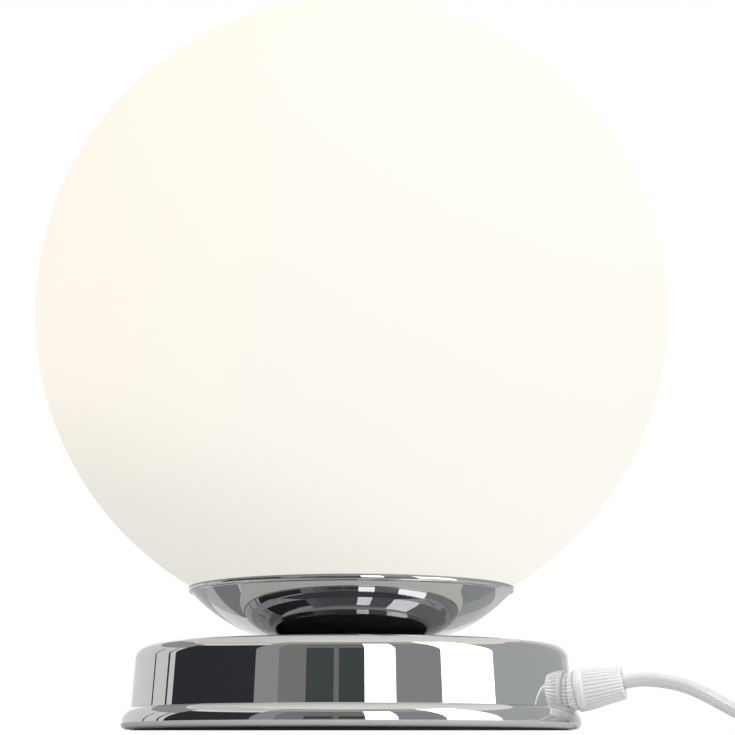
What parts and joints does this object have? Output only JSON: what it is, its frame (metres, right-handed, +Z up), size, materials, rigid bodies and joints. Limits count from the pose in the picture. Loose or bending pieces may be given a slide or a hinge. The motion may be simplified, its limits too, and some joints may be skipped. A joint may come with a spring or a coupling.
{
  "type": "table lamp",
  "caption": "Table lamp: opal glass globe seated in a shallow chrome bowl on a low round chrome base, with a ribbed cord grip, cord, in-line switch and plug.",
  "frame": {"origin": "on the lamp's axis, in the plane that the base stands on", "axes": "+Z up along the lamp's axis, -Y towards the viewer, +X towards the side where the cord leaves the base"},
  "size_m": [0.3674, 0.234, 0.232],
  "materials": {
    "opal_glass": "opal, polished, faintly warm",
    "chrome": "polished",
    "edging": "pale, smooth",
    "pad_rubber": "matt",
    "plated_steel": "zinc plated",
    "ballast_iron": "cast, painted black",
    "grip_plastic": "smooth, slightly translucent",
    "seal_rubber": "matt",
    "holder_plastic": "satin",
    "porcelain": "glazed",
    "contact_brass": "bright",
    "spring_steel": "bright",
    "bulb_cap_metal": "bright",
    "bulb_black": "glossy",
    "bulb_white": "glossy",
    "bulb_diffuser": "frosted",
    "cord_sheath": "smooth",
    "live_insulation": "smooth",
    "neutral_insulation": "smooth",
    "block_plastic": "satin",
    "switch_plastic": "smooth",
    "rocker_plastic": "smooth",
    "plug_plastic": "moulded, fine grain",
    "pin_metal": "nickel plated",
    "sleeve_plastic": "smooth",
    "tie_tape": "woven tape"
  },
  "bodies": {
    "lamp": {"base_shell": "chrome", "base_plate": "plated_steel", "rubber_pad": "pad_rubber", "ballast": "ballast_iron", "base_plate_screws": "plated_steel", "nipple": "plated_steel", "lower_washer": "plated_steel", "lower_nut": "plated_steel", "bowl_spacer": "edging", "bowl": "chrome", "lock_washer": "plated_steel", "upper_nut": "plated_steel", "rim_edging": "edging", "clip_plate": "plated_steel", "spring_clip_1": "spring_steel", "spring_clip_2": "spring_steel", "spring_clip_3": "spring_steel", "clip_rivets": "plated_steel", "holder_base": "holder_plastic", "holder_insert": "porcelain", "holder_screw_shell": "contact_brass", "holder_contact": "contact_brass", "holder_terminal_screws": "contact_brass", "holder_skirt": "holder_plastic", "grip_body": "grip_plastic", "grip_seal": "seal_rubber", "grip_locknut": "grip_plastic", "grip_collet": "grip_plastic", "grip_cap": "grip_plastic", "cord_in_grip": "cord_sheath", "terminal_block": "block_plastic", "terminal_screws": "contact_brass", "live_wire": "live_insulation", "neutral_wire": "neutral_insulation", "cord_lead": "cord_sheath", "cord_tail": "cord_sheath", "cord_coil": "cord_sheath", "coil_tie": "tie_tape", "cord_end": "cord_sheath", "switch_case_bottom": "switch_plastic", "switch_case_top": "switch_plastic", "rocker_pin": "plated_steel", "switch_contacts": "contact_brass", "switch_screws": "plated_steel", "plug_body": "plug_plastic", "plug_pins": "pin_metal", "plug_pin_sleeves": "sleeve_plastic"},
    "globe": {"glass_globe": "opal_glass"},
    "bulb": {"bulb_contact": "contact_brass", "bulb_insulator": "bulb_black", "bulb_cap": "bulb_cap_metal", "bulb_housing": "bulb_white", "bulb_diffuser": "bulb_diffuser"},
    "rocker": {"switch_rocker": "rocker_plastic"}
  },
  "joints": [
    {"name": "globe_lift", "type": "slide", "parent": "lamp", "child": "globe", "axis": [0, 0, 1], "range_m": [0, 0.14]},
    {"name": "bulb_unscrew", "type": "slide", "parent": "lamp", "child": "bulb", "axis": [0, 0, 1], "range_m": [0, 0.028]},
    {"name": "rocker_tilt", "type": "hinge", "parent": "lamp", "child": "rocker", "pos_m": [0.198, -0.02, 0.0118], "axis": [0, 1, 0], "range_deg": [0, 16]}
  ]
}
